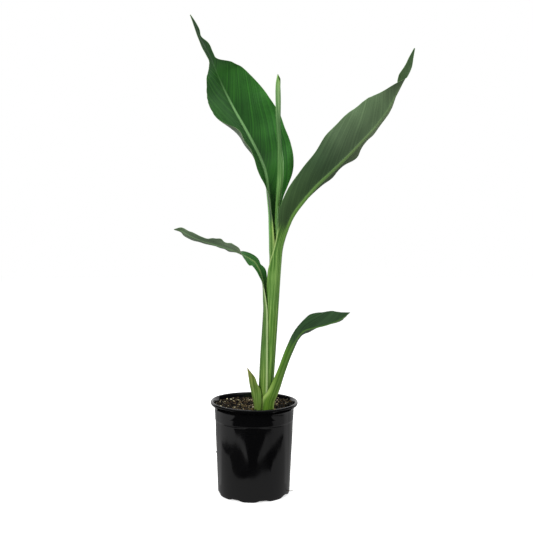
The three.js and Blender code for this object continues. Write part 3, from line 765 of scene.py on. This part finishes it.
SPEAR_LEAF = leaf_material(
    "leaf_spear_green",
    upper=SPEAR_TONES,
    lower=SPEAR_TONES,
    sheath=SPEAR_TONES,
    rib="6C9856",
    margin="98CB86",
    bands=(
        (0, (1.25, 1.2, 0.8)), (110, (1.35, 1.25, 1)), (165, (1.6, 1.45, 1.45)), (205, 1.1),
        (235, (0.85, 0.88, 0.9)), (270, (1, 0.95, 1.1)), (300, (1.75, 1.4, 1.9)),
        (335, (2, 1.6, 2)), (362, (2, 1.7, 1.2)),
    ),
    hem_reach=0.5,
    margin_fade=(205, 235),
)
BRACT_TONES = ("4E7029", "648A38", "88A858")
BRACT_LEAF = leaf_material(
    "bract_olive",
    upper=BRACT_TONES,
    lower=BRACT_TONES,
    sheath=BRACT_TONES,
    rib="6F9348",
    margin="7D7245",
    bands=((0, (1, 0.86, 0.82)), (45, (1, 0.95, 0.95)), (70, (1.1, 0.9, 0.9)), (98, (1.3, 0.75, 0.8))),
    hem_reach=0.3,
    margin_fade=(90, 50),
)

make_leaf("leaf_left", LEAF_LEFT_STATIONS, LEFT_LEAF, ruffled(3, 4.4, 5, 13), blade_from=4.0, seed=1)
make_leaf(
    "leaf_right", LEAF_RIGHT_STATIONS, RIGHT_LEAF, ruffled(-3, 5, 6.5, 14.5), blade_from=4.6,
    quilt=0.15, seed=2,
)
make_leaf("leaf_spear", LEAF_SPEAR_STATIONS, SPEAR_LEAF, quilt=0, seed=3)
make_leaf(
    "leaf_lower", LEAF_LOWER_STATIONS, LOWER_LEAF, ruffled(2.2, 4, 5, 15, calm_from=9.0),
    blade_from=3.6, quilt=0.2, frill=1.4, seed=4,
)
make_leaf("leaf_shoot", LEAF_SHOOT_STATIONS, SHOOT_LEAF, ruffled(1.5, 2, 5, 10), blade_from=5, seed=5)
make_leaf("basal_bract", BRACT_STATIONS, BRACT_LEAF, quilt=0, seed=6)


# ---------------- pot
POT_FOOT_MM = 68.2
POT_SEGMENTS = 288
DRAIN_COUNT = 8
DRAIN_TURN = math.radians(15.5)
DRAIN_WIDTH_MM = 24.0
DRAIN_HEIGHT_MM = 3.4
DRAIN_INNER_MM = 56.0
DRAIN_REACH_MM = 9.0  # the lifted foot pulls the wall up to this height
FOOT_SHIFT_MM = 0.9  # the soft pot leans this much
# The pot's section as radius and height in mm: under the floor, up the wall to the lip, then
# down the inside and over the floor.
POT_UNDERSIDE = [(20.0, 0.0), (53.0, 0.0), (55.0, 0.0), (57.0, 0.0), (62.0, 0.0)]
POT_WALL = [
    (66.8, 0.0), (67.9, 0.5), (68.3, 1.6), (68.7, 8.0), (70.5, 45.0), (72.3, 84.0), (73.5, 112.0),
    (73.9, 135.5), (73.95, 138.2), (74.2, 139.0), (74.7, 139.5), (74.75, 140.4), (74.7, 142.5),
    (75.2, 152.0), (75.5, 158.5), (76.0, 161.0), (77.6, 163.4), (80.2, 164.8), (82.0, 166.2),
    (83.0, 168.2), (83.0, 170.2), (82.0, 171.8), (80.4, 172.3), (79.0, 171.7), (78.0, 170.2),
]
FOOT_POINTS = 3  # how many of the wall's points make the edge of its foot
POT_INSIDE = [
    (76.4, 166.6), (75.0, 163.0), (74.3, 160.0), (73.3, 141.0), (72.6, 138.5), (66.1, 2.2),
    (60.0, 2.0), (30.0, 2.0),
]
# Gentle dents pressed into the thin wall: degrees from the front, height, half sizes in
# degrees and mm, and depth in mm.
DENTS = [
    (-34, 92, 20, 34, 0.3), (24, 96, 13, 42, 0.25), (60, 70, 20, 30, -0.4), (-70, 60, 22, 40, 0.5),
    (118, 84, 26, 40, 0.9), (165, 100, 24, 36, 0.8), (-128, 76, 26, 44, 1.0),
]


def fade(value, low, high):
    """0 at low, 1 at high, eased between."""
    t = min(max((value - low) / (high - low), 0.0), 1.0)
    return t * t * (3 - 2 * t)


def dent_depth(angle, height):
    """How far the wall is pressed in, in mm; angle in degrees, 0 at the front."""
    depth = 0.0
    for middle, level, wide, tall, deep in DENTS:
        away = (angle - middle + 180) % 360 - 180
        depth += deep * math.exp(-((away / wide) ** 2) - ((height - level) / tall) ** 2)
    return depth * (1 - fade(height, 118, 140)) * fade(height, 2, 22)


def drain_lift(turn, radius):
    """How high the foot is over the floor at a drain slot; turn in radians."""
    pitch = 2 * math.pi / DRAIN_COUNT
    away = abs((turn - DRAIN_TURN + pitch / 2) % pitch - pitch / 2) * POT_FOOT_MM
    slot = 1 - fade(away, 1, DRAIN_WIDTH_MM / 2 + 5)
    return DRAIN_HEIGHT_MM * slot * fade(radius, DRAIN_INNER_MM - 2, DRAIN_INNER_MM + 1)


def rim_rise(turn, height):
    """The thin rim doesn't lie quite flat: how far it stands up, most at the left."""
    left = 0.5 - 0.5 * math.cos(turn)
    back = 0.5 + 0.5 * math.sin(turn)
    return (2.4 * left**2 + 1.4 * back) * fade(height, 120, 168)


def out_of_round(turn, height):
    """How far the soft wall stands out at an angle in radians and a height, in mm."""
    wobble = 0.35 * math.sin(2 * turn + 0.6) + 0.15 * math.sin(5 * turn + 1.0)
    return wobble * fade(height, 20, 150)


def make_pot(material):
    section = POT_UNDERSIDE + POT_WALL + POT_INSIDE
    wall_from = len(POT_UNDERSIDE) + FOOT_POINTS
    vertices = []
    for k, (radius, height) in enumerate(section):
        for turn in turns(POT_SEGMENTS):
            r, z = radius, height
            if wall_from <= k < wall_from + len(POT_WALL):
                r -= dent_depth(math.degrees(turn) + 90, height)
            if k <= wall_from:
                z += drain_lift(turn, radius) * (1 - fade(height, 0, DRAIN_REACH_MM))
            r += out_of_round(turn, height)
            z += rim_rise(turn, height)
            x = r * math.cos(turn) - FOOT_SHIFT_MM * (1 - fade(height, 0, 150))
            vertices.append((x * MM, r * math.sin(turn) * MM, z * MM))
    faces = tube_faces(len(section), POT_SEGMENTS)
    faces.append(disc_face(0, POT_SEGMENTS, down=True))
    faces.append(disc_face((len(section) - 1) * POT_SEGMENTS, POT_SEGMENTS))
    piece = make_piece("nursery_pot", vertices, faces, material)
    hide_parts("pot")


def black_plastic():
    material, graph = new_material("black_pot_plastic")
    place = graph.object_place()
    smudge = graph.noise(place, 24.0, 4.0, 0.6)
    grain = graph.noise(place, 1400.0, 2.0)
    dust = graph.remap(graph.noise(place, 70.0, 6.0, 0.75), 0.56, 0.8)
    low = graph.remap(graph.node_z(), 0.0, 0.03, 1.0, 0.25)
    dust = graph.times(dust, low)
    colour = graph.mix(graph.times(dust, 0.18), "0A0A0B", "4A4338")
    height = graph.math("ADD", graph.times(grain, 0.12), smudge)
    graph.surface(
        Base_Color=colour,
        Roughness=graph.remap(smudge, 0.3, 0.7, 0.08, 0.17),
        Specular_IOR_Level=0.5,
        Normal=graph.bump(height, 0.0002, 0.25),
    )
    return material


make_pot(black_plastic())


# ---------------- potting mix
SOIL_TOP_MM = 166.2
SOIL_RADIUS_MM = 74.6
SOIL_RINGS = 44
SOIL_SEGMENTS = 192
# Lumps, clods and crumbs: height and size in mm, and a seed.
SOIL_LUMPS = [(1.6, 26, 0.3), (1.9, 8.5, 4.1), (0.9, 3.4, 9.7)]
HOLLOW_MM = 1.6
HOLLOW_REACH_MM = 26.0
SLOPE_FROM_MM = 46.0
SOIL_SIDE = [(73.0, 156.0), (71.8, 136.0), (65.4, 4.0), (30.0, 3.0)]  # radius, height, in mm
STEM_CLEAR_MM = 17.0
BITS_REACH_MM = 72.5
FIBRES_REACH_MM = 68.0
FIBRE_STEPS = 7


def off_stem(x, y):
    return math.hypot(x - STEM_FOOT_MM[0], y - STEM_FOOT_MM[1])


def soil_height(x, y):
    """The lie of the mix at a place, all in mm: it is uneven, lies lower round the stem and
    at the back of the pot, and higher at the sides."""
    height = SOIL_TOP_MM
    for tall, wide, layer in SOIL_LUMPS:
        height += tall * noise.noise(Vector((x / wide, y / wide, layer)))
    hollow = HOLLOW_MM * math.exp(-((off_stem(x, y) / HOLLOW_REACH_MM) ** 2))
    edge = math.hypot(x, y)
    back = max(math.sin(math.atan2(y, x) - 0.35), 0.0)
    sides = abs(x) / max(edge, 1)
    sink = (0.2 + 0.8 * back**2 - 2.8 * sides**2) * fade(edge, SLOPE_FROM_MM, SOIL_RADIUS_MM)
    return height - hollow - sink


def make_soil(material):
    vertices = [(0.0, 0.0, soil_height(0, 0) * MM)]
    rings = [(SOIL_RADIUS_MM * ring / SOIL_RINGS, None) for ring in range(1, SOIL_RINGS + 1)]
    rings += SOIL_SIDE
    for radius, height in rings:
        for turn in turns(SOIL_SEGMENTS):
            x, y = radius * math.cos(turn), radius * math.sin(turn)
            z = soil_height(x, y) if height is None else height
            vertices.append((x * MM, y * MM, z * MM))
    faces = [(0, 1 + j, 1 + (j + 1) % SOIL_SEGMENTS) for j in range(SOIL_SEGMENTS)]
    faces += tube_faces(len(rings), SOIL_SEGMENTS, start=1, inward=True)
    faces.append(disc_face(1 + (len(rings) - 1) * SOIL_SEGMENTS, SOIL_SEGMENTS, down=True))
    piece = make_piece("potting_mix", vertices, faces, material)
    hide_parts("soil")


def ball_mesh(level):
    """Unit points and faces of an icosphere."""
    shape = bmesh.new()
    bmesh.ops.create_icosphere(shape, subdivisions=level, radius=1.0)
    points = [v.co.copy() for v in shape.verts]
    faces = [tuple(v.index for v in f.verts) for f in shape.faces]
    shape.free()
    return points, faces


def soil_spot(rng, reach):
    """A random place on the mix, off the stem, in mm."""
    while True:
        turn = rng.uniform(0, 2 * math.pi)
        radius = reach * math.sqrt(rng.random())
        x, y = radius * math.cos(turn), radius * math.sin(turn)
        if off_stem(x, y) > STEM_CLEAR_MM:
            return x, y


def random_tilt(rng, most):
    turn = Matrix.Rotation(rng.uniform(0, 2 * math.pi), 3, "Z")
    tip = Matrix.Rotation(math.radians(rng.uniform(-most, most)), 3, "X")
    roll = Matrix.Rotation(math.radians(rng.uniform(-most, most)), 3, "Y")
    return turn @ tip @ roll


def make_bits(name, material, count, sizes, flat, rough, seed, level=2, sink=0.2, tilt=40):
    """Loose bits on the mix: `sizes` are their lengths in mm, `flat` their width and height as
    shares of the length, `rough` how uneven they are, `level` how fine their mesh is, `sink`
    the share of their height that is in the mix, and `tilt` how far they may tip, in degrees."""
    rng = random.Random(seed)
    points, faces = ball_mesh(level)
    heap = Heap()
    for _ in range(count):
        x, y = soil_spot(rng, BITS_REACH_MM)
        length = rng.uniform(*sizes) * rng.uniform(0.6, 1.0)
        scale = Vector((1, rng.uniform(*flat[0]), rng.uniform(*flat[1]))) * length / 2
        turn = random_tilt(rng, tilt)
        offset = Vector([rng.uniform(0, 99) for _ in range(3)])
        centre = Vector((x, y, soil_height(x, y) + scale.z * (1 - 2 * sink)))
        shape = []
        for p in points:
            uneven = 1 + rough * noise.noise(p * 1.6 + offset)
            boxy = Vector([math.copysign(abs(c) ** 0.7, c) for c in p])
            bit = Vector([boxy[i] * scale[i] * uneven for i in range(3)])
            shape.append((centre + turn @ bit) * MM)
        heap.add(shape, faces, rng.random())
    heap.make(name, material)


def make_fibres(name, material, count, lengths, thick, seed):
    """Bent coir fibres, each a thin three-sided strand lying on the mix."""
    rng = random.Random(seed)
    heap = Heap()
    for _ in range(count):
        x, y = soil_spot(rng, FIBRES_REACH_MM)
        heading = rng.uniform(0, 2 * math.pi)
        bend = rng.uniform(-0.35, 0.35)
        step = rng.uniform(*lengths) / FIBRE_STEPS
        lift = rng.uniform(0.2, 1.8)
        ring = []
        for i in range(FIBRE_STEPS + 1):
            size = thick * (1 - 0.6 * i / FIBRE_STEPS)
            z = soil_height(x, y) + size + lift * math.sin(math.pi * i / FIBRE_STEPS)
            for turn in turns(3):
                side = Vector((-math.sin(heading), math.cos(heading), 0)) * math.cos(turn)
                ring.append((Vector((x, y, z)) + (side + Vector((0, 0, math.sin(turn)))) * size) * MM)
            x += math.cos(heading) * step
            y += math.sin(heading) * step
            heading += bend
        far = max(math.hypot(p.x, p.y) for p in ring)
        if far < SOIL_RADIUS_MM * MM:
            heap.add(ring, strand_faces(FIBRE_STEPS, 3), rng.random())
    heap.make(name, material)


def dark_mix():
    material, graph = new_material("potting_mix")
    lumps = graph.noise(graph.object_place(), 260.0, 6.0, 0.75)
    stops = [(0.35, "050404"), (0.52, "0F0C09"), (0.66, "1D1710"), (0.8, "3A2F20")]
    graph.surface(
        Base_Color=graph.ramp(lumps, stops),
        Roughness=0.9,
        Specular_IOR_Level=0.25,
        Normal=graph.bump(lumps, 0.0015, 0.9),
    )
    return material


def bits_material(name, stops, roughness, scale):
    """Loose bits: each takes its colour from its own shade, with a woody or stony grain."""
    material, graph = new_material(name)
    grain = graph.noise(graph.object_place(), scale, 5.0, 0.7)
    shade = graph.math("POWER", graph.attribute("shade"), 1.6)
    tone = graph.weighed((shade, 0.75), (grain, 0.5))
    tone = graph.math("SUBTRACT", tone, 0.14)
    graph.surface(
        Base_Color=graph.ramp(tone, stops),
        Roughness=roughness,
        Specular_IOR_Level=0.3,
        Normal=graph.bump(grain, 0.0004, 0.8),
    )
    return material


BARK = bits_material(
    "bark_chips",
    [(0.05, "080605"), (0.5, "120E0A"), (0.68, "252016"), (0.83, "7A6A46"), (0.94, "E6D9A8")],
    0.85,
    700.0,
)
PERLITE = bits_material("perlite", [(0.1, "A79F7C"), (0.5, "CFC8A4"), (0.9, "ECE6CC")], 0.8, 900.0)
COIR = bits_material("coir_fibre", [(0.1, "4A3521"), (0.5, "7D6240"), (0.9, "A98E62")], 0.75, 500.0)

CRUMB_PLACE_MM = (-72.4, -8, 77)
CRUMB_SIZE_MM = (1.6, 1.4, 1.1)
ROOT_STEPS = 8
ROOT_SIDES = 5


def make_strays():
    """A crumb stuck to the pot's wall and a root that pokes out at its foot."""
    points, faces = ball_mesh(1)
    points = [(Vector(CRUMB_PLACE_MM) + p * Vector(CRUMB_SIZE_MM)) * MM for p in points]
    crumb = Heap()
    crumb.add(points, faces, 0.3)
    crumb.make("stuck_crumb", BARK)
    ring = []
    for i in range(ROOT_STEPS + 1):
        t = i / ROOT_STEPS
        middle = Vector((60 + 14 * t, -26 + 2 * t, 9.5 - 1.5 * math.sin(2.5 * t)))
        for turn in turns(ROOT_SIDES):
            reach = 0.75 * (1 - 0.5 * t)
            ring.append((middle + Vector((0, math.cos(turn), math.sin(turn))) * reach) * MM)
    root = Heap()
    root.add(ring, strand_faces(ROOT_STEPS, ROOT_SIDES), 0.1)
    root.make("stray_root", COIR, smooth=True)


make_soil(dark_mix())
make_strays()
make_bits("bark_large", BARK, 330, (4.0, 8.5), ((0.35, 0.8), (0.2, 0.4)), rough=0.5, seed=11, sink=0.25)
make_bits(
    "bark_small", BARK, 1500, (1.4, 3.8), ((0.4, 0.9), (0.3, 0.6)), rough=0.4, seed=12, level=1, tilt=70
)
make_bits("perlite_bits", PERLITE, 140, (1.0, 3.2), ((0.7, 1.0), (0.6, 0.9)), rough=0.7, seed=13)
make_fibres("coir_fibres", COIR, 260, (6, 20), thick=0.22, seed=14)


def stalk_material():
    material, graph = new_material("stalk_flesh")
    tone = graph.noise(graph.object_place(), 60.0, 4.0)
    colour = graph.ramp(tone, [(0.35, "6F7E3C"), (0.65, "B3B57A")])
    graph.surface(Base_Color=colour, Roughness=0.6, Normal=graph.bump(tone, 0.001, 0.5))
    return material


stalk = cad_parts["rhizome_stalk"]
stalk.data.materials.clear()
stalk.data.materials.append(stalk_material())


# ---------------- studio
FLOOR_HALF = 12.0
BACKDROP_RADIUS = 11.5
BACK_CARD = [(-4.0, 3.0, 0.0), (4.0, 3.0, 0.0), (4.0, 3.0, 2.6), (-4.0, 3.0, 2.6)]
WORLD_GLOW = 0.5


def make_stage_mesh(name, corners, material, faces=None):
    """A mesh of the studio: one flat face over all its corners, unless faces are given."""
    mesh = bpy.data.meshes.new(name)
    mesh.from_pydata(corners, [], faces or [tuple(range(len(corners)))])
    mesh.materials.append(material)
    made = bpy.data.objects.new(name, mesh)
    bpy.context.collection.objects.link(made)
    return made


def glow(name, strength):
    material, graph = new_material(name)
    emission = graph.node("Emission", (1.0, 1.0, 1.0), strength)
    graph.node("OutputMaterial", emission.outputs[0])
    return material


def seen_only_by(made, camera=False, glossy=False):
    made.visible_camera = camera
    made.visible_glossy = glossy
    made.visible_diffuse = False
    made.visible_transmission = False
    made.visible_shadow = False


def make_floor():
    material, graph = new_material("floor_white")
    graph.surface(
        Base_Color=(0.95, 0.95, 0.95),
        Roughness=0.9,
        Specular_IOR_Level=0.1,
        Emission_Color=(1.0, 1.0, 1.0),
        Emission_Strength=0.56,
    )
    corners = [(x * FLOOR_HALF, y * FLOOR_HALF, 0) for x, y in ((-1, -1), (1, -1), (1, 1), (-1, 1))]
    floor = make_stage_mesh("floor", corners, material)
    floor.visible_glossy = False
    floor.visible_diffuse = False


def make_backdrop():
    """A far white dome behind everything, which lights nothing."""
    points, faces = ball_mesh(4)
    points = [p * BACKDROP_RADIUS for p in points]
    faces = [f[::-1] for f in faces]
    dome = make_stage_mesh("backdrop", points, glow("backdrop_white", 1.0), faces)
    seen_only_by(dome, camera=True)


# The stretch of edge at the left front that the table's sheet and the bright card share.
FRONT_EDGE = [
    (-366, -303), (-280, -366), (-185, -372), (-142, -350), (-111, -317), (-82, -286), (-66, -258),
]
# What the glossy pot mirrors: level cards that the camera doesn't see. Each has its glow, its
# height over the floor and its corners, in mm; a card hides those under it. The dark cards,
# with little or no glow, are painted shade in the pot's reflection.
CARDS = {
    "table_sheet": (0.33, 0.4, [
        (-1500, -303), *FRONT_EDGE, (-58, -226), (39, -226), (42, -256), (51, -274), (82, -308),
        (138, -338), (201, -366), (258, -390), (350, -335), (1500, -335), (1500, 1500), (-1500, 1500),
    ]),
    "bright_card": (0.5, 0.6, [
        (-900, -303), *FRONT_EDGE, (-111, -262), (-150, -285), (-222, -290), (-300, -250), (-385, -60),
        (-370, 132), (-900, 132),
    ]),
    "dark_patch_left": (0.02, 0.8, [
        (-368, 120), (-385, -60), (-300, -250), (-222, -290), (-150, -285), (-111, -265), (-70, -262),
        (-128, -128), (-179, -111), (-216, -119), (-271, -103), (-319, 10),
    ]),
    "dark_patch_front": (0.0, 1.0, [
        (-64, -262), (-58, -228), (39, -228), (43, -256), (66, -258), (112, -258), (150, -200),
        (146, -157), (77, -196), (17, -183), (-46, -173), (-128, -128), (-110, -190),
    ]),
    "dark_patch_right": (0.0, 1.2, [
        (108, -258), (190, -255), (268, -235), (365, -170), (445, -75), (467, 0), (434, 10),
        (400, -30), (345, -52), (294, -112), (243, -133), (201, -157), (168, -150), (142, -146),
    ]),
    "side_left": (0.5, 1.4, [
        (-650, 130), (-484, 102), (-369, 87), (-268, 66), (-181, 37), (-106, 1), (-94, 19),
        (-153, 82), (-226, 146), (-317, 206), (-432, 256), (-600, 350),
    ]),
    "side_right": (0.45, 1.6, [
        (650, 50), (488, 42), (375, 38), (276, 28), (188, 11), (111, -12), (104, 5), (173, 52),
        (253, 100), (346, 149), (458, 189), (620, 260),
    ]),
    "rim_shade_card": (0.0, 150.0, [(-42, -58), (38, -58), (68, -130), (-76, -130)]),
    "lip_shade_card": (0.0, 161.5, [(-72, -30), (72, -30), (84, -34), (60, -72), (-60, -72), (-84, -34)]),
    "ceiling_card": (0.7, 2600.0, [(-2500, -2000), (2500, -2000), (2500, 3000), (-2500, 3000)]),
}


def make_cards():
    for name, (strength, height, corners_mm) in CARDS.items():
        corners = [(x * MM, y * MM, height * MM) for x, y in corners_mm]
        seen_only_by(make_stage_mesh(name, corners, glow(name, strength)), glossy=True)
    seen_only_by(make_stage_mesh("back_card", BACK_CARD, glow("back_card", 0.9)), glossy=True)


def make_world():
    world = bpy.data.worlds.new("studio")
    world.use_nodes = True
    bpy.context.scene.world = world
    graph = Graph(world.node_tree)
    background = graph.node("Background", (1.0, 1.0, 1.0), WORLD_GLOW)
    graph.node("OutputWorld", background.outputs[0])
    world.cycles_visibility.glossy = False


def make_softbox(name, place, target, size, watts):
    data = bpy.data.lights.new(name, "AREA")
    data.shape = "RECTANGLE"
    data.size, data.size_y = size
    data.energy = watts
    light = bpy.data.objects.new(name, data)
    light.location = place
    aim = Vector(target) - Vector(place)
    light.rotation_euler = aim.to_track_quat("-Z", "Y").to_euler()
    bpy.context.collection.objects.link(light)
    light.visible_camera = False
    light.visible_glossy = False


make_floor()
make_backdrop()
make_cards()
make_world()
make_softbox("softbox_left", (-1.4, -1.3, 1.4), (0, 0, 0.5), (0.9, 1.3), 27)
make_softbox("softbox_right", (1.5, -0.9, 1.0), (0, 0, 0.4), (0.7, 1.2), 9)
make_softbox("softbox_top", (0.1, 0.5, 2.2), (0, 0, 0.5), (1.4, 1.4), 18)
bpy.context.scene.view_settings.view_transform = "Standard"
